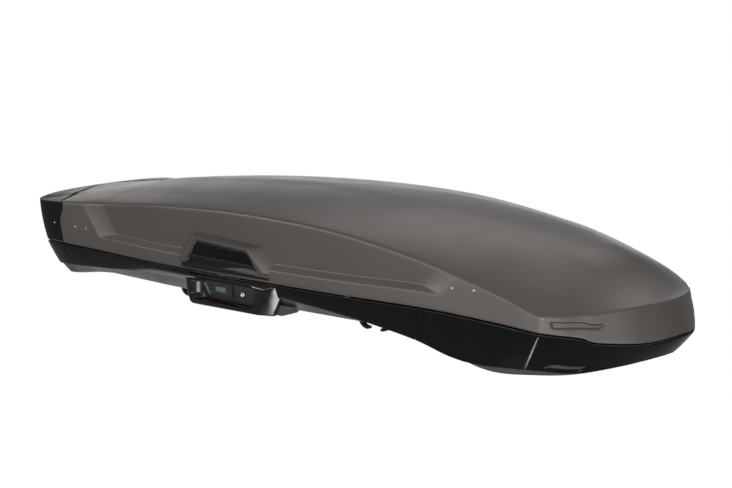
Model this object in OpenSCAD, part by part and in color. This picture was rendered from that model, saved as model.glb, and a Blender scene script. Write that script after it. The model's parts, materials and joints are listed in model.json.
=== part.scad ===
// Roof cargo box: a thermoformed lid that opens from either side, on a base that clamps to two crossbars.
// +X is the direction of travel, +Y the left side, +Z up. The origin lies midway between the crossbars,
// on the plane of their top faces.

/* [Box] */
// Overall length of the lid and base
box_length = 2335; // [2160:5:2460]
// Width across the lid edge at its widest
box_width = 864; // [840:2:900]
// Height of the lid edge above the crossbars
edge_z = 88; // [84:1:92]
// Wall thickness of the lid and the base
wall = 4; // [3:0.5:4.5]
// Thickness of the screwed-on skirts, fairings and tail cap
skin = 3; // [2.5:0.1:3]
// Points between neighbouring outline knots
per_knot = 3; // [2:1:4]

/* [Crossbar clamps] */
// Distance between the two crossbars
bar_spacing = 750; // [600:10:800]
// Distance between the right and left clamps
clamp_gauge = 520; // [480:10:540]
// How far a clamp slides along its rail, each way
clamp_travel = 40; // [20:5:40]
// Radius of the clamp knob
knob_r = 30; // [26:1:34]

/* [Catches and locks] */
// Radius of the steel catch pins
pin_r = 4; // [3.5:0.5:4.5]
// Height of the catch pins above the lid edge
pin_rise = 24; // [23:1:26]
// Distance between neighbouring catches
catch_pitch = 300; // [260:10:300]
// Travel of the lock slider from open to locked
lock_travel = 20; // [15:1:20]
// Radius of the key cylinder
key_r = 7; // [6:0.5:8]

/* [Hidden] */
CORNERS = ["front_right", "front_left", "rear_right", "rear_left"];

half_w = box_width / 2;
eps = 0.01;

// Half outlines, each from the middle of the tail round the left side to the middle of the nose.
// z counts from the lid edge. fit() scales them to the driving dimensions.
nominal_length = 2335;
nominal_width = 864;
EDGE = fit([[-1044, 0, 0], [-1042, 170, 0], [-1026, 300, 0], [-962, 355, 0], [-735, 379, 0],
    [-395, 418, 0], [-25, 432, 0], [345, 430, 0], [685, 408, -2], [905, 380, -17],
    [1018, 352, -32], [1095, 262, -48], [1125, 222, -64], [1205, 110, -74], [1250, 0, -62]]);
SHOULDER = fit([[-1085, 0, 142], [-1083, 165, 140], [-1072, 275, 134], [-1020, 338, 126],
    [-725, 352, 146], [-395, 392, 176], [-25, 406, 189], [345, 404, 172], [685, 384, 112],
    [905, 366, 53], [1012, 340, 9], [1085, 248, 11], [1112, 212, 13], [1180, 110, 25],
    [1218, 0, 32]]);
PANEL = fit([[-1005, 0, -84], [-1003, 170, -84], [-988, 285, -83], [-930, 333, -78],
    [-725, 365, -62], [-395, 402, -38], [-25, 418, -38], [345, 414, -58], [605, 396, -95],
    [745, 380, -134], [845, 370, -144], [985, 330, -144], [1075, 235, -155], [1165, 110, -136],
    [1205, 0, -124]]);
FLOOR = fit([[-962, 0, -116], [-960, 160, -116], [-950, 272, -115], [-900, 306, -110],
    [-700, 320, -86], [-375, 352, -85], [-25, 368, -85], [345, 364, -85], [575, 350, -85],
    [725, 335, -140], [845, 325, -170], [965, 290, -168], [1045, 210, -167], [1135, 100, -148],
    [1165, 0, -138]]);
// The crown's ridge line over the middle of the box: x, then height above the lid edge
CROWN = [[-1085, 142], [-775, 186], [-475, 217], [-175, 235], [125, 242], [425, 236], [675, 212],
    [925, 166], [1125, 100], [1218, 32]];
crown_round = 2.2;
crown_rows = [0.1, 0.38, 0.65, 0.88];
fan_tail = -655;
fan_nose = 945;
knots = len(EDGE);

function fit(k) = [for (p = k) [p[0] * box_length / nominal_length, p[1] * box_width / nominal_width,
    p[2] + edge_z]];
function mirror_y(p) = [p[0], -p[1], p[2]];
function spline(a, b, c, d, f) = (2 * b + (c - a) * f + (2 * a - 5 * b + 4 * c - d) * f * f
    + (3 * b - a - 3 * c + d) * f * f * f) / 2;
function knot(k, i) = i < 0 ? mirror_y(k[-i]) : i >= knots ? mirror_y(k[2 * knots - 2 - i]) : k[i];
// The outline's point at place t. It runs on past either end round the right side.
function at(k, t) = let (i = floor(t)) spline(knot(k, i - 1), knot(k, i), knot(k, i + 1),
    knot(k, i + 2), t - i);
function stretch(k, from, to) = let (n = round((to - from) * per_knot))
    [for (i = [0 : n]) at(k, from + (to - from) * i / n)];
function half(k) = stretch(k, 0, knots - 1);
// A whole ring, along the right side from tail to nose and back along the left side
function ring(k) = let (h = half(k)) concat([for (p = h) mirror_y(p)],
    [for (i = [len(h) - 2 : -1 : 1]) h[i]]);
function middle(p) = max(fan_tail, min(fan_nose, p[0]));
function crown_z(x) = edge_z + lookup(x * nominal_length / box_length, CROWN);
// Moves points toward the middle line in plan, and down
function inset(r, t, down = 0) = [for (p = r) let (d = [middle(p) - p[0], -p[1]], n = norm(d))
    [p[0] + d[0] / n * t, p[1] + d[1] / n * t, p[2] - down]];
function shrink(r, s) = [for (p = r) [middle(p) + (p[0] - middle(p)) * s, p[1] * s, p[2]]];
function mix(a, b, f) = [for (i = [0 : len(a) - 1]) a[i] + (b[i] - a[i]) * f];
function crown(r, v) = [for (p = r) let (x = p[0] + (middle(p) - p[0]) * v)
    [x, p[1] * (1 - v), p[2] + max(0, crown_z(x) - p[2]) * (1 - pow(1 - v, crown_round))]];

// Lid side walls: a belt above the edge, a ledge, and a shallow recessed panel up to the shoulder
belt_f = 0.2;
ledge_f = 0.29;
recess_depth = 14;
recess_rear = [-760, -660];
recess_front = [640, 760];
function ramp(x, a, b) = max(0, min(1, (x - a) / (b - a)));
function recess(x) = recess_depth * ramp(x, recess_rear[0], recess_rear[1])
    * (1 - ramp(x, recess_front[0], recess_front[1]));
function sink(r) = [for (p = r) [p[0], p[1] - sign(p[1]) * recess(p[0]), p[2]]];

// The tail cap covers this much of the lid, and the lid is set in by its thickness there
cap_t = 10 / 3;
cap_x = -875 * box_length / nominal_length;
cap_v = 0.38;
fit_gap = 0.5;
function tuck(r, drop) = [for (p = r) let (covered = p[0] < cap_x)
    inset([p], covered ? skin + fit_gap : 0, covered ? drop : 0)[0]];
function lid_outer() = let (e = ring(EDGE), s = ring(SHOULDER)) concat(
    [tuck(e, 0), tuck(mix(e, s, belt_f), 0), tuck(sink(mix(e, s, ledge_f)), 0), tuck(s, skin)],
    [for (v = crown_rows) tuck(crown(s, v), skin)]);
wall_rows = 4;
function lid_inner() = let (o = lid_outer()) [for (k = [0 : len(o) - 1])
    inset(o[k], k < wall_rows ? wall : 0, k < wall_rows - 1 ? 0 : wall)];

// The base hides behind its skirts down to the panel line, and its floor is flat along deck_x
groove = 8;
base_gap = 4;
// It stands further back where the nose fairing turns its corner
nose_gap = 8;
nose_from = 900;
deck_x = [-705, 550];
under_z = edge_z - 85;
function rim() = inset(ring(EDGE), 0, groove);
function floor_ring() = [for (p = ring(FLOOR)) [p[0], p[1],
    p[0] > deck_x[0] && p[0] < deck_x[1] ? under_z : min(p[2], under_z)]];
function set_back(r) = [for (p = r) inset([p], skin + (p[0] < nose_from ? base_gap : nose_gap))[0]];
function base_outer() = let (f = floor_ring()) [set_back(rim()), set_back(ring(PANEL)), f,
    shrink(f, 0.6), shrink(f, 0.1)];
function base_inner() = let (o = base_outer()) [inset(o[0], wall), inset(o[1], wall, -1),
    inset(o[2], wall, -wall), inset(o[3], 0, -wall), inset(o[4], 0, -wall)];

function quad(a, b, c, d) = [[a, b, c], [a, c, d]];
function turned(faces, flip) = flip ? [for (f = faces) [f[2], f[1], f[0]]] : faces;

// A closed shell from matching rings. Each last ring is narrow and is closed by a strip.
module shell(outer, inner, rising) {
    n = len(outer[0]);
    rows = len(outer);
    function walls(base) = [for (k = [0 : rows - 2], i = [0 : n - 1])
        let (a = base + k * n + i, b = base + k * n + (i + 1) % n) each quad(a, b, b + n, a + n)];
    function strip(base) = [for (i = [0 : n / 2 - 1])
        let (a = base + i, b = a + 1, c = base + n - i - 1, d = base + (n - i) % n)
        each a == d ? [[a, b, c]] : b == c ? [[a, b, d]] : quad(a, b, c, d)];
    last = (rows - 1) * n;
    rim_faces = [for (i = [0 : n - 1]) let (j = (i + 1) % n, o = rows * n)
        each quad(i, o + i, o + j, j)];
    polyhedron([for (r = concat(outer, inner)) each r],
        concat(turned(concat(walls(0), strip(last)), rising),
            turned(concat(walls(rows * n), strip(rows * n + last)), !rising),
            turned(rim_faces, rising)), convexity = 8);
}

// A thick sheet between two matching grids of points, rows from the bottom up
module sheet(outer, inner) {
    n = len(outer[0]);
    rows = len(outer);
    o = rows * n;
    function grid(base) = [for (k = [0 : rows - 2], i = [0 : n - 2])
        let (a = base + k * n + i) each quad(a, a + n, a + n + 1, a + 1)];
    low = [for (i = [0 : n - 2]) each quad(i, i + 1, o + i + 1, o + i)];
    high = [for (i = [0 : n - 2]) let (a = o - n + i) each quad(a, a + o, a + o + 1, a + 1)];
    ends = [for (k = [0 : rows - 2]) let (a = k * n, b = a + n - 1)
        each concat(quad(a, a + o, a + n + o, a + n), quad(b, b + n, b + n + o, b + o))];
    polyhedron([for (r = concat(outer, inner)) each r],
        concat(grid(0), turned(grid(o), true), low, high, ends), convexity = 8);
}

module on_side(side) {
    if (side == "right") children();
    else mirror([0, 1, 0]) children();
}
// Extrudes an outline drawn in x and z, between two distances from the middle plane on the right
module face_out(from, to) translate([0, -from, 0]) rotate([90, 0, 0]) linear_extrude(to - from)
    children();
module peg(r, from, to, x, z) translate([x, -from, z]) rotate([90, 0, 0])
    cylinder(h = to - from, r = r, $fn = 32);

// ---- Base ----
skirt_rear_t = 10 / 3;
skirt_front_t = 8;
pod_face = half_w + 14;
pod_back = 400;
pod_outline = [[-238, 79], [-233, 23], [-219, -10], [-205, -17], [90, -17], [106, -10], [134, 49],
    [134, 79]];
pod_neck = [[-228, 64], [-226, 12], [-212, -10], [92, -10], [122, 44], [122, 64]];
recess_outline = [[-185, 77], [-210, 58], [-209, 20], [-197, 2], [40, -3], [62, 20], [62, 60],
    [38, 77]];
recess_floor = 414;
key_x = -7;
key_z = 37;
slider_x = [-176, -48];
slider_z = [24, 62];
stem_x = [-110, -98];
stem_z = [38, 50];
clearance = 0.3;
outside = half_w + 120;

module skirt(from, to) {
    top = stretch(EDGE, from, to);
    low = stretch(PANEL, from, to);
    outer = [low, inset(mix(low, top, 0.5), -2), inset(top, 0, groove)];
    sheet(outer, [for (r = outer) inset(r, skin)]);
}
module pod_cut(from, to) face_out(from, to) polygon([for (p = pod_outline)
    [p[0], p[1] > 70 ? edge_z : p[1]]]);

module base_pan() color("dimgray") difference() {
    shell(base_outer(), base_inner(), false);
    for (side = ["right", "left"]) on_side(side) face_out(360, outside) {
        polygon(pod_neck);
        polygon(recess_outline);
    }
    for (x = [-1, 1], y = [-1, 1]) translate([x * bar_spacing / 2, y * clamp_gauge / 2, 0])
        cube([slot_l, slot_w, 4 * wall], center = true);
}
module tail_fairing() color("black") mirror([0, 1, 0])
    skirt(-skirt_rear_t, skirt_rear_t);
module nose_fairing() color("black")
    skirt(skirt_front_t, 2 * (knots - 1) - skirt_front_t);
module side_skirt(side) color("black") on_side(side) difference() {
    mirror([0, 1, 0]) skirt(skirt_rear_t, skirt_front_t);
    pod_cut(360, outside);
}
module lock_pod(side) color("black") on_side(side) difference() {
    union() {
        face_out(half_w - 8, pod_face) polygon(pod_outline);
        face_out(pod_back, half_w - 8) polygon(pod_neck);
    }
    face_out(recess_floor, pod_face + 1) polygon(recess_outline);
    translate([stem_x[0] - lock_travel - clearance, -recess_floor - 1, stem_z[0] - clearance])
        cube([stem_x[1] - stem_x[0] + lock_travel + 2 * clearance, recess_floor - pod_back + 2,
            stem_z[1] - stem_z[0] + 2 * clearance]);
    peg(key_r + 3, pod_back - 1, recess_floor + 1, key_x, key_z);
}
// The moulded surround in the pod's recess, with the key cylinder's bore
module lock_bezel(side) color("dimgray") on_side(side) difference() {
    union() {
        face_out(recess_floor, recess_floor + 3) offset(delta = -0.5) polygon(recess_outline);
        peg(key_r + 3 - clearance / 3, pod_back + 2, recess_floor + 8, key_x, key_z);
    }
    translate([slider_x[0] + 8, -recess_floor - 4, stem_z[0] - 2])
        cube([slider_x[1] - slider_x[0] - 8, 5, stem_z[1] - stem_z[0] + 4]);
    peg(key_r + 0.05, pod_back + 4, recess_floor + 9, key_x, key_z);
}
module floor_mat() color("darkslategray") difference() {
    translate([0, 0, floor_z + clearance]) linear_extrude(mat_t) polygon([for (p = inset(
        ring(FLOOR), 16)) [max(mat_x[0], min(mat_x[1], p[0])), p[1]]]);
    for (s = [-1, 1]) translate([0, s * clamp_gauge / 2, 0])
        cube([rail_l + 4, rail_w + 4, 40], center = true);
}

// ---- Crossbar clamps ----
slot_l = 236;
slot_w = 24;
mat_t = 3;
mat_x = [-690, 540];
rail_l = 1060;
rail_w = 68;
rail_t = 5;
floor_z = under_z + wall;
rail_top = floor_z + rail_t;
pad_l = 240;
pad_w = 64;
claw_w = 18;
claw_x = 28;
claw_pivot_z = 24;
claw_mid_z = -8;
claw_out = 34;
claw_in = 26;
claw_pin_r = 4;
boss_r = 8;
housing_l = 150;
housing_w = 56;
housing_top = 50;
knob_h = 26;
spindle_r = 6;
run_gap = 0.05;

module at_clamp(corner) {
    x = corner[0] == "f" ? bar_spacing / 2 : -bar_spacing / 2;
    y = corner[len(corner) - 1] == "t" && corner[len(corner) - 2] == "f" ? 1 : -1;
    translate([x, y * clamp_gauge / 2, 0]) children();
}
module clamp_rail(side) color("silver") on_side(side) difference() {
    translate([0, -clamp_gauge / 2, floor_z + rail_t / 2])
        cube([rail_l, rail_w, rail_t], center = true);
    for (x = [-1, 1]) translate([x * bar_spacing / 2, -clamp_gauge / 2, floor_z])
        cube([slot_l, slot_w, 4 * rail_t], center = true);
}
module bar_pads() color("black") for (x = [-1, 1], y = [-1, 1])
    translate([x * bar_spacing / 2, y * clamp_gauge / 2, 0]) difference() {
        translate([-pad_l / 2, -pad_w / 2, 0]) cube([pad_l, pad_w, under_z]);
        cube([slot_l, slot_w, 10], center = true);
    }
module clamp_housing(corner) color("black") at_clamp(corner) difference() {
    translate([0, 0, rail_top + clearance]) linear_extrude(housing_top - rail_top - clearance)
        offset(r = 10) square([housing_l - 20, housing_w - 20], center = true);
    cube([housing_l - 12, claw_w + 1.5, 2 * (housing_top - 8)],
        center = true);
    cylinder(h = 2 * housing_top, r = spindle_r + run_gap, center = true, $fn = 32);
    for (s = [-1, 1]) translate([s * claw_x, 0, claw_pivot_z]) rotate([90, 0, 0])
        cylinder(h = housing_w + 2, r = claw_pin_r, center = true, $fn = 32);
}
module clamp_knob(corner) color("dimgray") at_clamp(corner) {
    translate([0, 0, claw_pivot_z + 12]) cylinder(h = housing_top - claw_pivot_z, r = spindle_r,
        $fn = 32);
    translate([0, 0, housing_top + clearance]) difference() {
        cylinder(h = knob_h, r = knob_r, $fn = 64);
        for (a = [0 : 45 : 315]) rotate(a) translate([knob_r + 3, 0, 8])
            cylinder(h = knob_h, r = 7, $fn = 32);
    }
}
// A claw: a half ring that reaches down round the bar, with an eye at its top
module claw(corner, way) color("darkgray") at_clamp(corner)
    translate([way * claw_x, 0, 0]) rotate([90, 0, 0]) linear_extrude(claw_w, center = true)
    difference() {
        union() {
            translate([0, claw_mid_z]) difference() {
                circle(r = claw_out, $fn = 64);
                circle(r = claw_in, $fn = 64);
                translate([way > 0 ? -2 * claw_out - 4 : 4, -claw_out])
                    square([2 * claw_out, 2 * claw_out]);
            }
            translate([0, claw_pivot_z]) circle(r = boss_r, $fn = 32);
            translate([-boss_r, claw_pivot_z - boss_r]) square([2 * boss_r, boss_r]);
        }
        translate([0, claw_pivot_z]) circle(r = claw_pin_r + run_gap, $fn = 32);
    }
module claw_pins(corner) color("silver") at_clamp(corner) for (s = [-1, 1])
    translate([s * claw_x, 0, claw_pivot_z]) rotate([90, 0, 0])
    cylinder(h = housing_w, r = claw_pin_r, center = true, $fn = 32);

// ---- Catches, hinge pins and locks ----
pin_y = half_w - 22;
pin_z = edge_z + pin_rise;
catch_mid = 85;
catches = [for (i = [-1 : 1]) catch_mid + i * catch_pitch];
bracket_l = 24;
bracket_foot = 40;
shelf_z = [66, 78];
shelf_out = 10.5;
lug_l = 8;
lug_gap = 1;
pin_l = bracket_l + 2 * (lug_l + lug_gap);
eye_r = 8;
bar_rise = 9;
bar_h = 5;

module along_x(r, l, n = 32) rotate([0, 90, 0]) cylinder(h = l, r = r, center = true, $fn = n);
module catch_brackets(side) color("darkgray") on_side(side) for (x = catches)
    translate([x, -pin_y, pin_z]) difference() {
        union() {
            along_x(eye_r, bracket_l);
            translate([-bracket_l / 2, 0, -eye_r]) cube([bracket_l, 18, 12]);
            translate([-bracket_l / 2, 10, 4 - (pin_z - bracket_foot)])
                cube([bracket_l, 8, pin_z - bracket_foot]);
            translate([-bracket_l / 2, -shelf_out, shelf_z[0] - pin_z])
                cube([bracket_l, shelf_out + 10 + eps, shelf_z[1] - shelf_z[0]]);
        }
        along_x(pin_r + run_gap, bracket_l + 1);
        translate([-bracket_l, -pin_r - 0.5, 0]) cube([2 * bracket_l, 2 * pin_r + 1, 20]);
    }
module hinge_pins(side) color("silver") on_side(side) for (x = catches)
    translate([x, -pin_y, pin_z]) along_x(pin_r, pin_l);
belt_table = [for (p = mix(half(EDGE), half(SHOULDER), pin_rise / (SHOULDER[6][2] - edge_z))) [p[0], p[1]]];
function lug_reach(x) = lookup(x, belt_table) - wall + 1;
module catch_lugs(side) color("darkgray") on_side(side) for (x = catches, s = [-1, 1])
    translate([x + s * (pin_l - lug_l) / 2, -pin_y, pin_z]) difference() {
        union() {
            along_x(eye_r, lug_l);
            translate([-lug_l / 2, pin_y - lug_reach(x), -4])
                cube([lug_l, lug_reach(x) - pin_y, 10]);
        }
        along_x(pin_r + (side == "right" ? run_gap : 0), lug_l + 1);
    }
// The bar behind the wall: a finger for each catch, and the stem that joins it to the slider
module lock_bar(side) color("silver") on_side(side) {
    bar_from = catches[0] - 10;
    bar_to = catches[2] + 50;
    translate([bar_from, -pin_y + 8, pin_z + bar_rise]) cube([bar_to - bar_from, 8, bar_h]);
    for (x = catches) translate([x + pin_l / 2 + 2, -pin_y + 1, pin_z + bar_rise])
        cube([18, 7 + eps, bar_h]);
    translate([stem_x[0], -pin_y + 12, stem_z[0]])
        cube([stem_x[1] - stem_x[0], 4, pin_z + bar_rise - stem_z[0] + eps]);
    translate([stem_x[0], -recess_floor - 5, stem_z[0]])
        cube([stem_x[1] - stem_x[0], recess_floor + 5 - pin_y + 12 + eps, stem_z[1] - stem_z[0]]);
}
module lock_slider(side) color("black") on_side(side) {
    face = recess_floor + 5;
    translate([slider_x[0], -face - 6, slider_z[0]]) difference() {
        cube([slider_x[1] - slider_x[0], 6, slider_z[1] - slider_z[0]]);
        translate([window_x[0] - slider_x[0], -1, window_z[0] - slider_z[0]])
            cube([window_x[1] - window_x[0], 3, window_z[1] - window_z[0]]);
    }
    translate([slider_x[0], -face - 14, slider_z[0]])
        cube([10, 8 + eps, slider_z[1] - slider_z[0]]);
}
window_x = [-120, -76];
window_z = [35, 50];
module status_window(side) color("darkseagreen") on_side(side)
    translate([window_x[0], -recess_floor - 11, window_z[0]])
    cube([window_x[1] - window_x[0], 2, window_z[1] - window_z[0]]);
module key_cylinder(side) color("silver") on_side(side) difference() {
    peg(key_r, pod_back + 5, recess_floor + 10, key_x, key_z);
    translate([key_x - 1, -recess_floor - 11, key_z - 4]) cube([2, 8, 8]);
}

// ---- Lid ----
handle_face = half_w + 10;
bezel_outline = [[-272, 130], [-204, 207], [84, 196], [156, 130]];
handle_outline = [[-240, 124], [-196, 176], [23, 165], [66, 132], [60, 124]];

module lid_shell() color("gray") union() {
    shell(lid_outer(), lid_inner(), true);
    for (side = ["right", "left"]) on_side(side) difference() {
        face_out(half_w - 22, handle_face) polygon(bezel_outline);
        face_out(half_w - 23, handle_face - wall) offset(delta = -wall) polygon(bezel_outline);
    }
}
// The cap's forward edge runs straight over the crown and tapers off at the sides
function cap_reach(r, v) = [for (i = [0 : len(r) - 1])
    let (u = 2 * i / (len(r) - 1) - 1) crown([r[i]], max(v * (1 - pow(abs(u), 4)), 0.004))[0]];
module tail_cap() color("black") {
    e = stretch(EDGE, -cap_t, cap_t);
    s = stretch(SHOULDER, -cap_t, cap_t);
    outer = [e, mix(e, s, belt_f), mix(e, s, 0.6), s, cap_reach(s, cap_v / 2),
        cap_reach(s, cap_v)];
    mirror([0, 1, 0]) sheet(outer, [for (k = [0 : len(outer) - 1])
        inset(outer[k], skin, k < 3 ? 0 : skin)]);
}
module handle_plate(side) color("black") on_side(side) difference() {
    face_out(handle_face, handle_face + 4) polygon(handle_outline);
    face_out(handle_face - 1, handle_face + 5) polygon([[-214, 128], [-206, 136], [30, 132],
        [36, 128]]);
}

// The lid wall's distance from the middle at a place x and height z
function column(k, x, i) = lookup(x, [for (p = half(k)) [p[0], p[i]]]);
function wall_y(x, z) = let (low = column(EDGE, x, 2), high = column(SHOULDER, x, 2),
    f = (z - low) / (high - low)) column(EDGE, x, 1) * (1 - f) + column(SHOULDER, x, 1) * f;
side_rivets = [-835, -778, 767, 833];
rivet_r = 4;
rivet_z = edge_z + 58;
rivet_in = 4;
module lid_rivets() color("silver") for (side = ["right", "left"], x = side_rivets) on_side(side)
    translate([x, rivet_in - wall_y(x, rivet_z), rivet_z]) rotate([90, 0, 0])
    cylinder(h = 6, r = rivet_r, $fn = 24);
module cap_screws() color("black") for (side = ["right", "left"]) on_side(side)
    translate([-946, rivet_in - wall_y(-946, rivet_z), rivet_z]) rotate([90, 0, -6])
    cylinder(h = 5, r = rivet_r, $fn = 24);
module base_screws() color("silver") for (x = [-rail_l / 2 + 12, 0, rail_l / 2 - 12], s = [-1, 1])
    translate([x, s * clamp_gauge / 2, rail_top]) cylinder(h = 3, r = 6, $fn = 24);

base_pan();
tail_fairing();
nose_fairing();
floor_mat();
bar_pads();
base_screws();
lid_shell();
tail_cap();
lid_rivets();
cap_screws();
for (side = ["right", "left"]) {
    side_skirt(side);
    lock_pod(side);
    lock_bezel(side);
    clamp_rail(side);
    catch_brackets(side);
    hinge_pins(side);
    handle_plate(side);
    catch_lugs(side);
    lock_slider(side);
    status_window(side);
    lock_bar(side);
    key_cylinder(side);
}
for (corner = CORNERS) {
    clamp_housing(corner);
    clamp_knob(corner);
    claw_pins(corner);
    claw(corner, 1);
    claw(corner, -1);
}
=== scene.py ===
"""The looks of a roof cargo box: shells, trims, locks and finishes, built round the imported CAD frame."""

import json
import math

import bmesh
import bpy
import numpy as np
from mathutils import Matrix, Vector


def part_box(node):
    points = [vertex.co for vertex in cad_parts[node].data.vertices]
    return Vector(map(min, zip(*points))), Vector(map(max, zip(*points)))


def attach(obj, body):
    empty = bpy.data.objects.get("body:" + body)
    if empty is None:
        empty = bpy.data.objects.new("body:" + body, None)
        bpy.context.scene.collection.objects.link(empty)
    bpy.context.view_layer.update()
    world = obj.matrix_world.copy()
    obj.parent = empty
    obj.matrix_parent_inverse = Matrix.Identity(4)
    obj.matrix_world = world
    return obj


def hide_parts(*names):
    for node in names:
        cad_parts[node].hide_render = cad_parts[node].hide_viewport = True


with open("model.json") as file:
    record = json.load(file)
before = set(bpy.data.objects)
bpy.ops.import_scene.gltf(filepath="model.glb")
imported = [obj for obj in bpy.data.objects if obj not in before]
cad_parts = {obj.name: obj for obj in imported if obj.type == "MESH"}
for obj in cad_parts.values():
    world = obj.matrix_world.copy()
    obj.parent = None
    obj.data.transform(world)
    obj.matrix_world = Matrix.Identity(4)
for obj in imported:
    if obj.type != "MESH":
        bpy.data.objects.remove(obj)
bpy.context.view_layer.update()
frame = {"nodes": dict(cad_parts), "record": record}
MM = 0.001
SIDES = {"right": -1, "left": 1}
CORNERS = [f"{end}_{side}" for end in ("front", "rear") for side in SIDES]

# ---- Outlines, in millimetres: the CAD model's, with the nose's corner further out ----
# Each runs from the middle of the tail round the left side to the middle of the nose.
EDGE_Z = 88


def outline(points):
    """Knots whose heights are given from the lid edge, as heights above the crossbars."""
    return np.array(points, float) + [0, 0, EDGE_Z]


EDGE = outline([[-1044, 0, 0], [-1042, 170, 0], [-1026, 300, 0], [-962, 355, 0], [-735, 379, 0],
    [-395, 418, 0], [-25, 432, 0], [345, 430, 0], [685, 408, -2], [905, 380, -17],
    [1033, 368, -28], [1110, 285, -44], [1140, 245, -60], [1213, 123, -70], [1250, 0, -60]])
SHOULDER = outline([[-1085, 0, 142], [-1083, 165, 140], [-1072, 275, 134], [-1020, 338, 126],
    [-725, 352, 146], [-395, 392, 176], [-25, 406, 189], [345, 404, 172], [685, 384, 112],
    [905, 366, 53], [1028, 358, 13], [1100, 272, 15], [1128, 236, 17], [1190, 123, 29],
    [1222, 0, 35]])
PANEL = outline([[-1005, 0, -84], [-1003, 170, -84], [-988, 285, -83], [-930, 333, -78],
    [-725, 365, -62], [-395, 402, -38], [-25, 418, -38], [345, 414, -58], [605, 396, -95],
    [745, 380, -134], [845, 370, -144], [985, 330, -144], [1075, 235, -155], [1165, 110, -136],
    [1205, 0, -124]])
FLOOR = outline([[-962, 0, -116], [-960, 160, -116], [-950, 272, -115], [-900, 306, -110],
    [-700, 320, -86], [-375, 352, -85], [-25, 368, -85], [345, 364, -85], [575, 350, -85],
    [725, 335, -140], [845, 325, -170], [965, 290, -168], [1045, 210, -167], [1135, 100, -148],
    [1165, 0, -138]])
CROWN = np.array([[-1085, 142], [-775, 186], [-475, 217], [-175, 235], [125, 242], [425, 236],
    [675, 212], [925, 166], [1125, 100], [1218, 32]], float) + [0, EDGE_Z]
LAST = len(EDGE) - 1
# Lines inward from an outline meet the middle plane between these two x.
FAN_TAIL, FAN_NOSE = -655, 945
# How quickly the crown levels out from the shoulder to the ridge.
CROWN_ROUND = 2.2
# The nose's upright crease: its places on the lid's edge and on the panel line, and its strength.
NOSE_CORNER, PANEL_CORNER = 10, 10.87
LID_CREASE = 0.8


def at(knots, t):
    """Points at places t along an outline. It runs on past both ends round the other side."""
    mirrored = knots * [1, -1, 1]
    whole = np.concatenate([mirrored[:0:-1], knots, mirrored[-2::-1]])
    t = np.asarray(t, float)
    i = np.floor(t).astype(int)
    f = (t - i)[..., None]
    a, b, c, d = (whole[np.clip(i + k + LAST, 0, len(whole) - 1)] for k in (-1, 0, 1, 2))
    return (2 * b + (c - a) * f + (2 * a - 5 * b + 4 * c - d) * f**2 + (3 * b - a - 3 * c + d) * f**3) / 2


def blend(a, b, f):
    return a + (b - a) * f


def turning(start, corner, end, f):
    """A point on the curve that turns from start to end at a corner."""
    return (1 - f) ** 2 * start + 2 * f * (1 - f) * corner + f * f * end


def smooth(u):
    """0 to 1 with u, level at both ends."""
    u = np.clip(u, 0, 1)
    return u * u * (3 - 2 * u)


def creased(knots, t, corner, strength=1.0, fillet=0.09, reach=0.9):
    """The outline with a crease at one place, where straight chords meet at a small fillet."""
    t = np.asarray(t, float)
    spread = fillet * np.linspace(-1, 1, 7)
    return sum(sharp(knots, t + d, corner, strength, reach) for d in spread) / len(spread)


def sharp(knots, t, corner, strength, reach):
    """The outline with its curve replaced by straight chords near one corner."""
    t = np.asarray(t, float)
    p, c = at(knots, t), at(knots, corner)
    u = ((t - corner) / reach)[..., None]
    before, after = at(knots, corner - reach) - c, at(knots, corner + reach) - c
    chord = np.where(u < 0, c - before * u, c + after * u)
    return p + (chord - p) * smooth(1 - np.abs(u)) * strength


def lid_creased(knots, t, corner=NOSE_CORNER):
    """The outline with its crease as strong as on the lid."""
    return creased(knots, t, corner, LID_CREASE)


def ramp(u, w=0.1):
    """0 to 1 with u, its two corners rounded over w."""
    def bend(v):
        return np.where(v < -w, 0, np.where(v < w, (v + w) ** 2 / (4 * w), v))
    return bend(np.asarray(u, float)) - bend(np.asarray(u, float) - 1)


def lower(a, b, k=0.08):
    """The lower of two values, rounded where they meet."""
    h = np.clip(0.5 + 0.5 * (b - a) / k, 0, 1)
    return np.maximum(0, b + (a - b) * h - k * h * (1 - h))


def middle(x):
    """Where the line inward from a point at x meets the middle plane."""
    return np.clip(x, FAN_TAIL, FAN_NOSE)


def crown_height(x):
    """Height of the crown's ridge: straight at the tail, then one smooth curve."""
    xs, zs = CROWN.T
    i = np.clip(np.searchsorted(xs, x) - 1, 0, len(xs) - 2)
    step = xs[i + 1] - xs[i]
    f = (x - xs[i]) / step
    slope = np.gradient(zs, xs)
    tail_slope = (zs[1] - zs[0]) / (xs[1] - xs[0])
    slope[0] = tail_slope
    m0, m1 = slope[i] * step, np.where(i == 0, tail_slope, slope[i + 1]) * step
    return (zs[i] * (1 + 2 * f) * (1 - f) ** 2 + m0 * f * (1 - f) ** 2
        + zs[i + 1] * f * f * (3 - 2 * f) - m1 * f * f * (1 - f))


T_DENSE = np.linspace(0, LAST, 5601)


def place(knots, x):
    """The place t at which an outline has this x."""
    return np.interp(x, np.maximum.accumulate(at(knots, T_DENSE)[:, 0]), T_DENSE)


def columns(start, end, windows, fine=3.6, coarse=11):
    """Places from start to end, close together in the windows and wider elsewhere."""
    t = np.linspace(start, end, 4001)
    step = np.linalg.norm(np.diff(at(EDGE, t), axis=0), axis=1)
    spacing = np.full(len(step), float(coarse))
    for a, b in windows:
        spacing[(t[1:] > a) & (t[1:] < b)] = fine
    count = np.concatenate([[0], np.cumsum(step / spacing)])
    return np.interp(np.linspace(0, count[-1], round(count[-1]) + 1), count, t)


def inset(p, distance):
    """Points moved inward, along level lines to the middle plane."""
    toward = np.stack([middle(p[..., 0]) - p[..., 0], -p[..., 1], 0 * p[..., 1]], -1)
    return p + toward / np.linalg.norm(toward, axis=-1, keepdims=True) * distance


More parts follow.
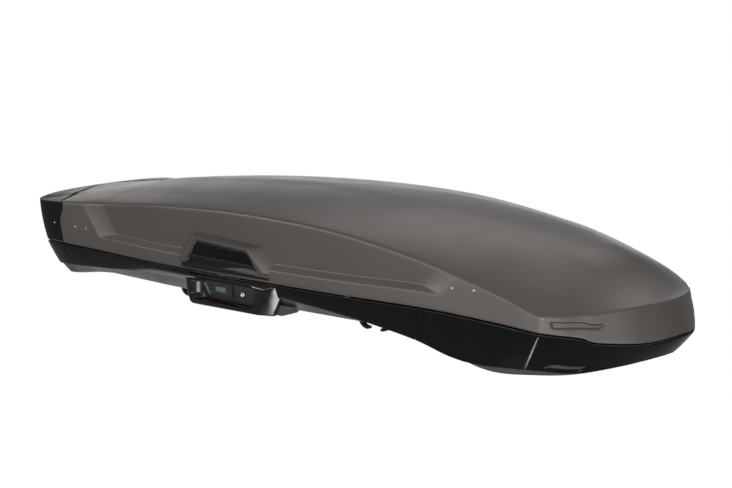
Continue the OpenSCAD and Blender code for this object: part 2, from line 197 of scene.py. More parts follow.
# ---- Mesh tools ----
def normals(grid):
    """Unit normals of a grid of points, which point away from the object's inside."""
    across = np.gradient(grid, axis=1)
    up = np.gradient(grid, axis=0)
    n = np.cross(up, across)
    n /= np.maximum(np.linalg.norm(n, axis=-1, keepdims=True), 1e-9)
    outward = grid - np.stack([middle(grid[..., 0]), 0 * grid[..., 0], 0 * grid[..., 0] + EDGE_Z], -1)
    return n * np.sign(np.sum(n * outward, axis=-1, keepdims=True) + 1e-12)


def grid_faces(rows, cols, closed=False):
    """Quads of a grid of points. Where it is closed, the last column joins the first."""
    return [(r * cols + c, (r + 1) * cols + c, (r + 1) * cols + (c + 1) % cols, r * cols + (c + 1) % cols)
        for r in range(rows - 1) for c in range(cols if closed else cols - 1)]


def make(name, points, faces, weld=0.0, face_out=True):
    """A mesh object from points in millimetres. face_out turns a closed mesh's faces outward."""
    mesh = bpy.data.meshes.new(name)
    mesh.from_pydata((np.asarray(points, float).reshape(-1, 3) * MM).tolist(), [], faces)
    obj = bpy.data.objects.new(name, mesh)
    bpy.context.scene.collection.objects.link(obj)
    bm = bmesh.new()
    bm.from_mesh(mesh)
    if weld:
        bmesh.ops.remove_doubles(bm, verts=bm.verts, dist=weld * MM)
        bmesh.ops.dissolve_degenerate(bm, edges=bm.edges, dist=weld * MM * 0.1)
    if face_out:
        bmesh.ops.recalc_face_normals(bm, faces=bm.faces)
    bm.to_mesh(mesh)
    bm.free()
    return obj


def both_halves(half):
    """A left half grid, whose columns run tail to nose, as a closed ring round both sides."""
    return np.concatenate([half, (half * [1, -1, 1])[:, -2:0:-1]], axis=1)


def thicken(obj, thickness, inside_material=False):
    """Makes an open shell a wall, inward from its outer face."""
    m = obj.modifiers.new("thickness", "SOLIDIFY")
    m.thickness, m.offset = thickness * MM, -1
    m.use_even_offset = False
    if inside_material:
        m.material_offset = 1


def bevel(obj, width, segments=2, angle=30):
    m = obj.modifiers.new("bevel", "BEVEL")
    m.width, m.segments, m.limit_method = width * MM, segments, "ANGLE"
    m.angle_limit = math.radians(angle)
    m.use_clamp_overlap = True


def cut(obj, *cutters):
    """Takes the cutters' shapes out of obj, and removes them."""
    for cutter in cutters:
        m = obj.modifiers.new("cut", "BOOLEAN")
        m.operation, m.object, m.solver = "DIFFERENCE", cutter, "EXACT"
    settle(obj)
    for cutter in cutters:
        bpy.data.objects.remove(cutter)


def settle(obj):
    """Makes the modifiers' result the object's own mesh."""
    graph = bpy.context.evaluated_depsgraph_get()
    graph.update()
    result = bpy.data.meshes.new_from_object(obj.evaluated_get(graph))
    obj.modifiers.clear()
    obj.data = result


def shade(obj, angle=35):
    obj.data.shade_smooth()
    obj.data.set_sharp_from_angle(angle=math.radians(angle))


def piece(obj, body, slot, *materials, stands_for=(), angle=35):
    """Finishes a piece: its mesh, shading, materials and body. Its slot argument is not used."""
    settle(obj)
    shade(obj, angle)
    for i, m in enumerate(materials):
        if i < len(obj.data.materials):
            obj.data.materials[i] = m
        else:
            obj.data.materials.append(m)
    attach(obj, body)
    if stands_for:
        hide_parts(*stands_for)
    return obj


def loft(name, rings):
    """A closed solid through rings of points with the same count, with a flat face at each end."""
    n = len(rings[0])
    faces = [(k * n + i, k * n + (i + 1) % n, (k + 1) * n + (i + 1) % n, (k + 1) * n + i)
        for k in range(len(rings) - 1) for i in range(n)]
    last = (len(rings) - 1) * n
    faces += [tuple(range(n)), tuple(range(last + n - 1, last - 1, -1))]
    return make(name, np.concatenate([np.asarray(r, float) for r in rings]), faces)


def facing(side, outline_xz, out):
    """Points of an outline drawn in x and z, at a distance, or a list of them, from the middle plane."""
    out = np.broadcast_to(np.asarray(out, float), (len(outline_xz),))
    return [(x, SIDES[side] * y, z) for (x, z), y in zip(outline_xz, out)]


def grown(points, distance):
    """A closed outline with each edge moved outward, or inward where distance is negative."""
    p = np.asarray(points, float)
    area = np.sum(p[:, 0] * np.roll(p[:, 1], -1) - np.roll(p[:, 0], -1) * p[:, 1])
    along = np.roll(p, -1, axis=0) - p
    along /= np.linalg.norm(along, axis=1, keepdims=True)
    out = np.stack([along[:, 1], -along[:, 0]], 1) * np.sign(area)
    before = np.roll(out, 1, axis=0)
    both = out + before
    return p + both * (distance / np.maximum(np.sum(both * out, axis=1), 0.3))[:, None]


def rounded(points, radii, steps=5):
    """A closed outline with each corner replaced by an arc. radii is one radius or one for each corner."""
    p = np.asarray(points, float)
    radii = np.broadcast_to(np.asarray(radii, float), (len(p),))
    made = []
    for i, r in enumerate(radii):
        a, b, c = p[i - 1], p[i], p[(i + 1) % len(p)]
        u, v = (a - b) / np.linalg.norm(a - b), (c - b) / np.linalg.norm(c - b)
        half = math.acos(np.clip(u @ v, -1, 1)) / 2
        reach = min(r / math.tan(half), 0.48 * np.linalg.norm(a - b), 0.48 * np.linalg.norm(c - b))
        start, end = b + u * reach, b + v * reach
        made += [turning(start, b, end, f) for f in np.linspace(0, 1, steps + 1)]
    return np.array(made)


def turned(profile, centre, axis, segments=24):
    """Points and faces of a solid of revolution. profile is (radius, distance along the axis) pairs."""
    axis = Vector(axis).normalized()
    u = axis.orthogonal().normalized()
    v = axis.cross(u)
    points = [np.array(centre) + np.array(axis) * d
        + r * (np.array(u) * math.cos(a) + np.array(v) * math.sin(a))
        for r, d in profile for a in np.linspace(0, 2 * math.pi, segments, endpoint=False)]
    last = (len(profile) - 1) * segments
    faces = grid_faces(len(profile), segments, True)
    return points, faces + [tuple(range(segments)), tuple(range(last, last + segments))]


def gather(parts):
    """Several (points, faces) pairs as one."""
    points, faces = [], []
    for p, f in parts:
        faces += [tuple(i + len(points) for i in face) for face in f]
        points += p
    return points, faces


# ---- Materials ----
def srgb(*values):
    """A linear colour from one written in 0 to 255."""
    return [((v / 255 + 0.055) / 1.055) ** 2.4 if v > 10 else v / 3294 for v in values] + [1]


class Finish:
    """A procedural material on a Principled shader. Scales are in repeats per metre."""

    def __init__(self, name, colour, roughness, metallic=0.0, specular=0.5):
        self.material = bpy.data.materials.new(name)
        self.material.use_nodes = True
        self.nodes, self.links = self.material.node_tree.nodes, self.material.node_tree.links
        self.shader = self.nodes["Principled BSDF"]
        self.colour, self.roughness = colour, roughness
        self.set("Base Color", colour)
        self.set("Roughness", roughness)
        self.set("Metallic", metallic)
        self.set("Specular IOR Level", specular)
        self.place = self.nodes.new("ShaderNodeTexCoord").outputs["Object"]

    def set(self, socket, value):
        self.shader.inputs[socket].default_value = value
        return self

    def texture(self, kind, scale, place):
        node = self.nodes.new(kind)
        node.inputs["Scale"].default_value = scale
        self.links.new(place, node.inputs["Vector"])
        return node

    def noise(self, scale, detail=2.0, stretch=(1, 1, 1)):
        mapping = self.texture("ShaderNodeMapping", stretch, self.place)
        texture = self.texture("ShaderNodeTexNoise", scale, mapping.outputs["Vector"])
        texture.inputs["Detail"].default_value = detail
        return texture.outputs["Fac"]

    def cells(self, scale):
        return self.texture("ShaderNodeTexVoronoi", scale, self.place).outputs["Distance"]

    def spread(self, value, low, high, start=0.3, end=0.7):
        """Turns a pattern into numbers from low to high."""
        node = self.nodes.new("ShaderNodeMapRange")
        for socket, number in zip(("From Min", "From Max", "To Min", "To Max"), (start, end, low, high)):
            node.inputs[socket].default_value = number
        self.links.new(value, node.inputs["Value"])
        return node.outputs["Result"]

    def tint(self, value, other, share=1.0):
        """Mixes another colour in where the pattern is high."""
        node = self.nodes.new("ShaderNodeMix")
        node.data_type = "RGBA"
        node.inputs["A"].default_value, node.inputs["B"].default_value = self.colour, other
        self.links.new(self.spread(value, 0, share), node.inputs["Factor"])
        self.links.new(node.outputs["Result"], self.shader.inputs["Base Color"])
        return self

    def rough(self, value, low, high):
        self.links.new(self.spread(value, low, high), self.shader.inputs["Roughness"])
        return self

    def bump(self, value, height, strength=1.0):
        """Raises the surface by a pattern, to a height in millimetres."""
        node = self.nodes.new("ShaderNodeBump")
        node.inputs["Distance"].default_value = height * MM
        node.inputs["Strength"].default_value = strength
        if self.shader.inputs["Normal"].links:
            self.links.new(self.shader.inputs["Normal"].links[0].from_socket, node.inputs["Normal"])
        self.links.new(value, node.inputs["Height"])
        self.links.new(node.outputs["Normal"], self.shader.inputs["Normal"])
        return self


def lid_matte():
    f = Finish("lid_matte", srgb(77, 73, 70), 0.42, metallic=0.4, specular=0.5)
    f.tint(f.noise(1400, 1), srgb(88, 83, 80), 0.7)
    f.rough(f.noise(9, 3), 0.4, 0.45)
    return f.bump(f.noise(1100, 2), 0.04, 0.4).material


def lid_inside():
    f = Finish("lid_inside", srgb(58, 57, 56), 0.6)
    f.tint(f.noise(6, 3), srgb(66, 65, 64), 0.6)
    return f.bump(f.cells(700), 0.12, 0.5).material


def gloss_black(name, specular):
    f = Finish(name, srgb(11, 10, 10), 0.14, specular=specular)
    f.tint(f.noise(5, 3), srgb(14, 13, 13), 0.8)
    f.rough(f.noise(14, 4), 0.1, 0.18)
    return f.bump(f.noise(60, 1), 0.05, 0.2).material


def satin_black(name, specular):
    f = Finish(name, srgb(17, 16, 16), 0.36, specular=specular)
    f.tint(f.noise(40, 4), srgb(25, 24, 24), 0.7)
    f.rough(f.noise(30, 3), 0.31, 0.42)
    return f.bump(f.cells(1300), 0.05, 0.45).material


def base_matte():
    f = Finish("base_matte", srgb(58, 56, 56), 0.55)
    f.tint(f.noise(8, 4), srgb(66, 64, 63), 0.7)
    f.rough(f.noise(20, 3), 0.48, 0.62)
    return f.bump(f.cells(800), 0.12, 0.5).material


def felt():
    f = Finish("felt", srgb(62, 63, 65), 0.95, specular=0.1)
    f.set("Sheen Weight", 0.4).set("Sheen Roughness", 0.6)
    f.tint(f.noise(900, 5, (1, 0.25, 1)), srgb(96, 97, 99), 0.8)
    return f.bump(f.noise(700, 5, (0.3, 1, 1)), 0.9, 0.8).material


def aluminium():
    f = Finish("rail_aluminium", srgb(190, 191, 193), 0.34, metallic=1.0)
    f.tint(f.noise(60, 3, (0.05, 1, 1)), srgb(168, 169, 172), 0.8)
    f.rough(f.noise(900, 2, (0.01, 1, 1)), 0.26, 0.44)
    return f.bump(f.noise(1500, 2, (0.01, 1, 1)), 0.04, 0.5).material


def rubber():
    f = Finish("pad_rubber", srgb(30, 30, 30), 0.8, specular=0.25)
    f.tint(f.noise(50, 4), srgb(42, 41, 40), 0.8)
    return f.bump(f.noise(600, 3), 0.15, 0.6).material


def steel():
    f = Finish("zinc_steel", srgb(150, 150, 150), 0.36, metallic=1.0)
    f.tint(f.cells(160), srgb(176, 178, 180), 0.7)
    f.rough(f.noise(90, 3), 0.28, 0.46)
    return f.bump(f.noise(700, 2), 0.04, 0.4).material


def smoked_window():
    f = Finish("smoked_window", srgb(92, 102, 96), 0.2, specular=0.5)
    f.set("Coat Weight", 0.4)
    f.tint(f.noise(70, 2), srgb(74, 84, 79), 0.8)
    return f.bump(f.noise(500, 2), 0.02, 0.3).material


def insert_black():
    f = Finish("insert_black", srgb(36, 40, 39), 0.36, specular=0.4)
    f.tint(f.noise(60, 3), srgb(30, 33, 33), 0.8)
    return f.bump(f.cells(1500), 0.04, 0.4).material


def lock_chrome():
    f = Finish("lock_chrome", srgb(235, 235, 236), 0.24, metallic=1.0)
    f.rough(f.noise(900, 3), 0.16, 0.34)
    return f.bump(f.noise(1500, 2), 0.02, 0.4).material


def knob_grey():
    f = Finish("knob_grey", srgb(74, 74, 76), 0.6)
    f.tint(f.noise(90, 4), srgb(84, 84, 85), 0.7)
    return f.bump(f.cells(1100), 0.1, 0.6).material


def claw_coat():
    f = Finish("claw_coat", srgb(26, 26, 27), 0.5, specular=0.4)
    f.tint(f.noise(120, 4), srgb(46, 45, 44), 0.5)
    return f.bump(f.noise(900, 3), 0.08, 0.6).material


LID, INSIDE = lid_matte(), lid_inside()
GLOSS, SATIN = gloss_black("gloss_black", 0.18), satin_black("satin_black", 0.22)
BASE, FELT, ALUMINIUM, RUBBER = base_matte(), felt(), aluminium(), rubber()
STEEL, WINDOW, INSERT, CHROME = steel(), smoked_window(), insert_black(), lock_chrome()
KNOB, CLAW = knob_grey(), claw_coat()
POD_GLOSS, CAP_SATIN = gloss_black("pod_gloss", 0.5), satin_black("cap_satin", 0.08)
SLOT_FINISH = {"lid_shell_matte": LID, "base_matte": BASE, "trim_gloss_black": GLOSS,
    "trim_satin_black": SATIN, "felt": FELT, "rail_aluminium": ALUMINIUM, "pad_rubber": RUBBER,
    "hardware_steel": STEEL, "window_tinted": WINDOW, "lock_chrome": CHROME, "knob_grey": KNOB,
    "claw_coated": CLAW}

# ---- Lid ----
LID_WALL = 4
SKIN = 3
# The ledge's two lines: their heights above the edge, at most these shares of the wall's.
LEDGE_LOW, LEDGE_HIGH = 37, 55
LEDGE_LOW_SHARE, LEDGE_HIGH_SHARE = 0.42, 0.6
LEDGE_BEND = 0.07
# How far the recess above the ledge is set in, at the ledge and at the shoulder.
RECESS_LEDGE, RECESS_SHOULDER = 14, 8
# The rounded rim: pairs of height above the edge and distance inward.
RIM = ((0, 2.2), (0.4, 1.1), (1.3, 0.3), (3, 0))
# The crown is averaged along itself over this many columns, from this place to the nose.
NOSE_EASE = 24
EASE_FROM, EASE_OVER = 8, 1.2
DOME_DEPTH = 3
# The tail cap's forward edge: x at heights up the side wall, and then a slanted line over the crown.
CAP_LINE_Z = [88, 94, 160, 197, 227, 250]
CAP_LINE_X = [-892, -896, -924, -914, -919, -922]
CAP_CROWN_X, CAP_CROWN_Y, CAP_CROWN_SLOPE = -925, 345, 0.517
CAP_HEIGHTS = [94, 160, 197, 222]
CAP_WALL = 134
CAP_BULGE = 5


def at_ledge(t):
    """Points of the wall about as high as the ledge."""
    return blend(lid_creased(EDGE, t), lid_creased(SHOULDER, t), 0.25)


def ledge_place(x):
    return np.interp(x, np.maximum.accumulate(at_ledge(T_DENSE)[:, 0]), T_DENSE)


# The recess ends in two slanted ramps: where each line meets the ledge, and where it meets the shoulder.
RAMP_LEDGE = [ledge_place(x) for x in (-706, -608, 625, 713)]
RAMP_SHIFT = [place(SHOULDER, x) - t for x, t in zip((-824, -715, 694, 771), RAMP_LEDGE)]
# The slot in the front wall and the intake shape below it, as corners in place and share of height.
SLOT = [(10.24, 0.77), (12.3, 0.64), (12.07, 0.46), (10.29, 0.35)]
SLOT_DEPTH = 7
INTAKE = [(11.1, 0.92), (11.38, 0.757), (12.43, 0.768), (12.22, 0.857), (12.16, 0.95), (11.5, 0.95)]
INTAKE_DEPTH = 9
# About how many millimetres one place and the whole height of the front wall are.
DENT_SCALE = [100, 70]


def slant(t):
    """How far a column of the lid wall leans between the ledge and the shoulder."""
    return np.interp(t, [ledge_place(-860), *RAMP_LEDGE, ledge_place(900)], [0, *RAMP_SHIFT, 0])


def recessed(t):
    """1 along the recess and 0 past its two ramps."""
    a, b, c, d = RAMP_LEDGE
    return ramp((t - a) / (b - a), 0.07) * (1 - ramp((t - c) / (d - c), 0.25))


def dented(grid, place_t, share, corners, depth, edge=5.0):
    """A grid pushed in where its place and share of height are inside a polygon."""
    c = np.array(corners) * DENT_SCALE
    p = np.stack([place_t, share], -1) * DENT_SCALE
    inside = np.full(p.shape[:-1], np.inf)
    turn = np.sign(np.sum(c[:, 0] * np.roll(c[:, 1], -1) - np.roll(c[:, 0], -1) * c[:, 1]))
    for a, b in zip(c, np.roll(c, -1, axis=0)):
        along = (b - a) / np.linalg.norm(b - a)
        inside = np.minimum(inside, turn * (along[0] * (p - a)[..., 1] - along[1] * (p - a)[..., 0]))
    return grid - normals(grid) * (depth * smooth(inside / edge))[..., None]


class LidWall:
    """The lid's side wall at places t. It leans with the ramps, and is set in along the recess."""

    def __init__(self, t):
        self.t = t
        self.edge, self.shoulder = lid_creased(EDGE, t), lid_creased(SHOULDER, t + slant(t))
        self.height = self.shoulder[:, 2] - self.edge[:, 2]
        self.low = np.minimum(LEDGE_LOW, LEDGE_LOW_SHARE * self.height)
        self.high = np.minimum(LEDGE_HIGH, LEDGE_HIGH_SHARE * self.height)
        self.corner = np.interp(t, [0, 7, 9, 10, 14], [8, 9, 6, 5, 5])
        self.recess = recessed(t)

    def row(self, h):
        """The wall's points at heights h above the edge."""
        lean = np.clip((h - self.low) / (self.height - self.low), 0, 1)
        place_t = self.t + slant(self.t) * lean
        p = blend(lid_creased(EDGE, place_t), lid_creased(SHOULDER, place_t), (h / self.height)[:, None])
        above = np.clip((h - self.high) / (self.height - self.high), 0, 1)
        depth = blend(RECESS_LEDGE, RECESS_SHOULDER, above)
        p[:, 1] -= depth * lower(self.recess, ramp((h - self.low) / (self.high - self.low), LEDGE_BEND))
        return p

    def rows(self):
        """Rows from the rim to the corner under the crown, close together at the ledge."""
        low, high = self.low, self.high
        rows = [inset(self.row(0 * low + h), inward) for h, inward in RIM]
        rows += [self.row(3 + (low - 7) * f) for f in (0.25, 0.5, 0.75, 1)]
        rows += [self.row(low + d * low / LEDGE_LOW) for d in (-2, 0, 2, 4)]
        rows += [self.row(blend(low, high, f)) for f in (0.4, 0.6, 0.8)]
        rows += [self.row(high + d * low / LEDGE_LOW) for d in (-1.5, 0, 1.5, 4)]
        foot, top = high + 4 * low / LEDGE_LOW, self.height - self.corner
        rows += [self.row(blend(foot, top, f)) for f in np.linspace(0, 1, 15)[1:]]
        grid = np.array(rows)
        share = (grid[..., 2] - self.edge[:, 2]) / self.height
        leaning = self.t + slant(self.t) * np.clip(share, 0, 1)
        return list(dented(grid, leaning, share, SLOT, SLOT_DEPTH))


def over_crown(shoulder, v):
    """Points a share v of the way from the shoulder to the crown's ridge."""
    x = blend(shoulder[:, 0], middle(shoulder[:, 0]), v)
    rise = np.maximum(0, crown_height(x) - shoulder[:, 2]) * (1 - (1 - v) ** CROWN_ROUND)
    return np.stack([x, shoulder[:, 1] * (1 - v), shoulder[:, 2] + rise], 1)


def eased(row, reach):
    """A row of a half grid averaged along itself over a number of columns."""
    n = int(3 * reach) + 1
    weights = np.exp(-0.5 * (np.arange(-n, n + 1) / reach) ** 2)
    mirrored = row * [1, -1, 1]
    whole = np.concatenate([mirrored[n:0:-1], row, mirrored[-2:-n - 2:-1]])
    return np.stack([np.convolve(c, weights / weights.sum(), "valid") for c in whole.T], 1)


def dome(x, y):
    """1 on the long raised middle of the crown, which widens toward the nose, and 0 beside it."""
    width = np.interp(x, [0, 66, 559, 920, 1050], [20, 41, 109, 113, 90])
    return smooth((width + 60 - np.abs(y)) / 75)


def crown_rows(wall, top):
    """Rows from the wall's top row, round the corner at the shoulder, to the crown's ridge."""
    shoulder = wall.shoulder.copy()
    shoulder[:, 1] -= RECESS_SHOULDER * wall.recess
    reach = wall.corner / np.hypot(middle(shoulder[:, 0]) - shoulder[:, 0], shoulder[:, 1])
    start = over_crown(shoulder, reach)
    rows = [turning(top, shoulder, start, f) for f in np.linspace(0, 1, 7)[1:]]
    calm = smooth((wall.t - EASE_FROM) / EASE_OVER)[:, None]
    for f in np.linspace(0, 1, 33)[1:]:
        row = over_crown(shoulder, blend(reach, 1, f))
        row = blend(row, eased(row, NOSE_EASE * smooth(f / 0.45) + 0.01), calm)
        row[:, 2] -= DOME_DEPTH * smooth(f / 0.3) * (1 - dome(row[:, 0], row[:, 1]))
        rows.append(row)
    return rows


def cap_edge_on_crown(y):
    """Where the cap's forward edge runs over the crown: furthest back in the middle."""
    return CAP_CROWN_X - CAP_CROWN_SLOPE * (CAP_CROWN_Y - np.abs(y))


def tucked(grid, wall_rows):
    """The lid set in under the tail cap, with a narrow groove before the cap's edge."""
    x_cap = np.interp(grid[..., 2], CAP_LINE_Z, CAP_LINE_X)
    x_cap[wall_rows:] = cap_edge_on_crown(grid[wall_rows:, :, 1])
    covered = 1 - smooth((grid[..., 0] - x_cap + 1) / 7)
    return grid - normals(grid) * (covered * (SKIN + 0.5))[..., None]


def turn_out(obj):
    """Turns an open shell's faces so that they look away from the object's middle."""
    me = obj.data
    centre = Vector((0, 0, EDGE_Z * MM))
    total = 0.0
    for p in me.polygons:
        c = p.center.copy()
        c.x -= min(max(c.x, FAN_TAIL * MM), FAN_NOSE * MM)
        total += p.normal.dot(c - centre) * p.area
    if total < 0:
        me.flip_normals()


def shell(name, grid, thickness, closed=False, inside_material=False):
    """A wall made inward from a grid of points on its outer face."""
    obj = make(name, grid, grid_faces(*grid.shape[:2], closed), weld=0.05, face_out=False)
    turn_out(obj)
    thicken(obj, thickness, inside_material)
    return obj


def lid_shell():
    """Makes the lid, and gives the grid of its outer face, left, from the rim to the ridge."""
    wall = LidWall(columns(0, LAST, [(2.6, 3.5), (3.75, 4.5), (7.6, 8.6), (9.6, 12.6)]))
    rows = wall.rows()
    corner_middle = len(rows) + 3
    grid = tucked(np.array(rows + crown_rows(wall, rows[-1])), corner_middle)
    grid[-1, :, 1] = 0
    grid[:, 0, 1] = grid[:, -1, 1] = 0
    lid = shell("lid_shell_skin", both_halves(grid), LID_WALL, True, inside_material=True)
    piece(lid, "lid", "lid_shell_matte", LID, INSIDE, stands_for=["lid_shell"], angle=60)
    return grid


LID_GRID = lid_shell()


def on_lid(x, z):
    """The point and the outward direction of the lid's side wall, left, at this x and z."""
    d = np.hypot(LID_GRID[..., 0] - x, LID_GRID[..., 2] - z)
    r, c = np.unravel_index(d.argmin(), d.shape)
    n = normals(LID_GRID)[r, c]
    return np.array([x, LID_GRID[r, c, 1], z]), n


def round_tail(half):
    """A left half grid with its mirror image, joined in the middle of the tail."""
    return np.concatenate([(half * [1, -1, 1])[:, :0:-1], half], axis=1)


def on_wall(t, f):
    """Points of the plain side wall, a share f of the way from the edge to the shoulder."""
    return blend(at(EDGE, t), at(SHOULDER, t), f)


def wall_place(x, f):
    """The place at which the plain side wall has this x, a share f of the way up."""
    return float(np.interp(x, np.maximum.accumulate(on_wall(T_DENSE, f)[:, 0]), T_DENSE))


def place_on_cap(z):
    """Where the cap's forward edge crosses the wall at this height, as a place along the outlines."""
    return wall_place(np.interp(z, CAP_LINE_Z, CAP_LINE_X), (z - EDGE_Z) / CAP_WALL)


def tail_cap():
    """The cap over the tail: up the wall, where it bulges a little, and over the crown."""
    ends = [place_on_cap(z) for z in CAP_HEIGHTS]
    u = np.linspace(0, 1, 46)
    rows = []
    for f in np.linspace(0, 1, 22):
        t = u * np.interp(EDGE_Z + f * CAP_WALL, CAP_HEIGHTS, ends)
        rows.append(inset(on_wall(t, f), -CAP_BULGE * 4 * f * (1 - f) * (1 - u[:, None] ** 8)))
    shoulder = at(SHOULDER, u * ends[-1])
    v_end = (cap_edge_on_crown(shoulder[:, 1]) - shoulder[:, 0]) / (middle(shoulder[:, 0]) - shoulder[:, 0]
        + CAP_CROWN_SLOPE * shoulder[:, 1])
    v_end = np.maximum(v_end, 0.012 * (1 - u**20) + 0.0005)
    rows += [over_crown(shoulder, v_end * f) for f in np.linspace(0, 1, 9)[1:]]
    cap = shell("tail_cap_shell", round_tail(np.array(rows)), SKIN)
    bevel(cap, 0.8)
    return piece(cap, "lid", "trim_satin_black", CAP_SATIN, stands_for=["tail_cap"], angle=40)


tail_cap()

# ---- Handles ----
# Outlines are in x and z. The numbers after them are distances of faces from the middle plane.
SURROUND_BASE = [(-310, 112), (-231, 201), (57, 189), (150, 112)]
SURROUND_TOP = [(-262, 112), (-199, 191), (25, 179), (92, 112)]
SURROUND_RADII = [4, 12, 34, 4]
SURROUND_IN, SURROUND_FOOT, SURROUND_OUT = 396, 409, 438
MOUTH = [(-262, 80), *SURROUND_TOP[1:3], (98, 80)]
MOUTH_FLOOR, MOUTH_FLOOR_OUT = [(-250, 80), (-196, 178), (14, 165), (74, 80)], 427
MOUTH_RADII = [4, 8, 26, 4]
HANDLE_BACK = [(-256, 94), (-250, 130), (-198, 180), (16, 167), (72, 118), (98, 97)], (418, 428)
HANDLE_PLATE = [(-240, 141), (-196, 174), (8, 164), (50, 134)], (425, 431)
HANDLE_BAR = [(-250, 126), (-246, 139), (60, 132), (80, 124), (82, 112), (60, 116), (34, 121)], (425, 434)
HANDLE_LIP = [(-262, 96), (-250, 117), (-240, 113), (26, 105), (108, 102), (110, 96)], (429, 435)


def prism(name, side, outline_xz, out):
    """A solid with this outline, between two distances from the middle plane."""
    return loft(f"{name}_{side}", [facing(side, outline_xz, y) for y in out])


def layer(name, side, outline_xz, out, radius):
    """A prism whose corners are rounded."""
    return prism(name, side, rounded(outline_xz, radius), out)


def surround(side):
    """The raised frame round the handle, lid coloured, with its sloping opening."""
    base, top = rounded(SURROUND_BASE, SURROUND_RADII), rounded(SURROUND_TOP, SURROUND_RADII)
    body = loft(f"handle_surround_{side}", [facing(side, base, SURROUND_IN),
        facing(side, base, SURROUND_FOOT), facing(side, blend(base, top, 0.93), SURROUND_OUT - 1),
        facing(side, top, SURROUND_OUT)])
    mouth = rounded(grown(MOUTH, -4), MOUTH_RADII)
    hole = loft("hole", [facing(side, mouth, SURROUND_OUT + 6), facing(side, mouth, SURROUND_OUT - 0.5),
        facing(side, rounded(MOUTH_FLOOR, MOUTH_RADII), MOUTH_FLOOR_OUT)])
    cut(body, hole)
    bevel(body, 1.4, 2, 20)
    return piece(body, "lid", "lid_shell_matte", LID, angle=30)


def grip(side):
    """The black handle: a back, the plate, a bar under it and the lip below the finger slot."""
    piece(layer("handle_back", side, *HANDLE_BACK, 4), "lid", "trim_satin_black", SATIN)
    plate = layer("handle_plate", side, *HANDLE_PLATE, 4)
    bevel(plate, 1.6, 3)
    piece(plate, "lid", "trim_satin_black", GLOSS, stands_for=[f"handle_plate_{side}"])
    for name, shape, edge in (("handle_bar", HANDLE_BAR, 2.4), ("handle_lip", HANDLE_LIP, 2.2)):
        strip = layer(name, side, *shape, 3)
        bevel(strip, edge, 3)
        piece(strip, "lid", "trim_satin_black", SATIN)


# ---- Base ----
GROOVE = 8
PAN_GAP = 7
# The floor is flat between these two x. Beyond them its middle dips. Beads run across it.
DECK_X = (-705, 550)
UNDER_Z = 3
DECK_CENTRE_X = [-960, -900, -705, 550, 725, 845, 965, 1165]
DECK_CENTRE_Z = [-28, -22, 3, 3, -52, -82, -80, -50]
BEADS = [-700, -620, -150, -75, 0, 75, 150, 600, 680]
BEAD_REACH, BEAD_RISE = 11, 2.4
CLAW_SLOT_LENGTH, CLAW_SLOT_WIDTH, CLAW_SLOT_CORNER = 236, 24, 6
# The skirts' joints, as places along the lid's edge and along the panel line.
TAIL_JOINT = (place(EDGE, -884), place(PANEL, -834))
NOSE_JOINT = (place(EDGE, 684), place(PANEL, 629))
JOINT_GAP = 1.6
SKIRT_BULGE = 2
SKIRT_LIP = 1.3
SKIRT_FILLET = 0.05
KEYS_TOP = [0, TAIL_JOINT[0], NOSE_JOINT[0], NOSE_CORNER, LAST]
KEYS_LOW = [0, TAIL_JOINT[1], NOSE_JOINT[1], PANEL_CORNER, LAST]
# The lock pod and its parts: outlines in x and z, and distances from the middle plane.
POD_BACK = [(-240, 79), (-236, 23), (-222, -12), (-207, -17), (104, -17), (136, 49), (136, 79)]
POD_RIM = [(-239, 79), (-234, 23), (-220, -11), (-206, -17), (103, -17), (135, 49), (135, 79)]
POD_RIM_OUT = [433, 426, 424, 422, 404, 406, 432]
POD_FACE = [(-231, 68), (-229, 25), (-216, -6), (-204, -12), (66, -12), (93, 49), (93, 68)]
POD_IN, POD_OUT = 396, 443
POD_FOOT = [(-226, 16), (-214, -9), (-202, -14), (126, -14), (150, -6), (172, 18)]
POD_FOOT_OUT = (352, 399)
# The pod's openings in the skirt and the pan: how much smaller than the pod, and their two ends.
SKIRT_OPENING, SKIRT_OPENING_OUT = -2.5, (390, 460)
PAN_OPENING, PAN_OPENING_OUT = -6, (375, 460)
RECESS = [(-185, 74), (-208, 57), (-207, 21), (-196, 4), (40, -1), (60, 19), (60, 58), (38, 74)]
RECESS_FLOOR = [(-172, 69), (-182, 58), (-180, 23), (-170, 9), (34, 5), (46, 18), (46, 57), (30, 68)]
RECESS_Y = 418
INSERT_LINE = [(-184, 64), (-162, 15), (33, 11), (42, 20), (42, 56), (34, 61)]
SLIDER_LINE = [(-166, 60), (-150, 24), (-54, 23), (-50, 27), (-50, 55), (-54, 59)]
SLIDER_GRIP = [(-163, 58), (-158, 50), (-151, 40), (-144, 30), (-140, 25)]
SLIDER_HOLE = [(-120, 50), (-120, 35), (-56, 33), (-56, 50)]
GLASS_LINE = [(-119, 49), (-119, 36), (-76, 34), (-76, 49)]
KEY_X, KEY_Z = -7, 37
KEY_PROFILE = [(3, -14), (7, -14), (7, 8.6), (6.4, 9.4), (4.6, 9.6), (4.2, 8.8), (0.4, 8.8)]
KEY_SLOT = [(-8, 33.4), (-6, 33.4), (-6, 40.6), (-8, 40.6)]
KEY_RING = [(7.3, -1), (9.6, -1), (9.6, 5.2), (8.8, 6), (7.6, 6), (7.3, 5.4)]
KEY_SEGMENTS = 40


def on_panel(t):
    """The place along the panel line that goes with a place along the edge."""
    return np.interp(t, KEYS_TOP, KEYS_LOW)


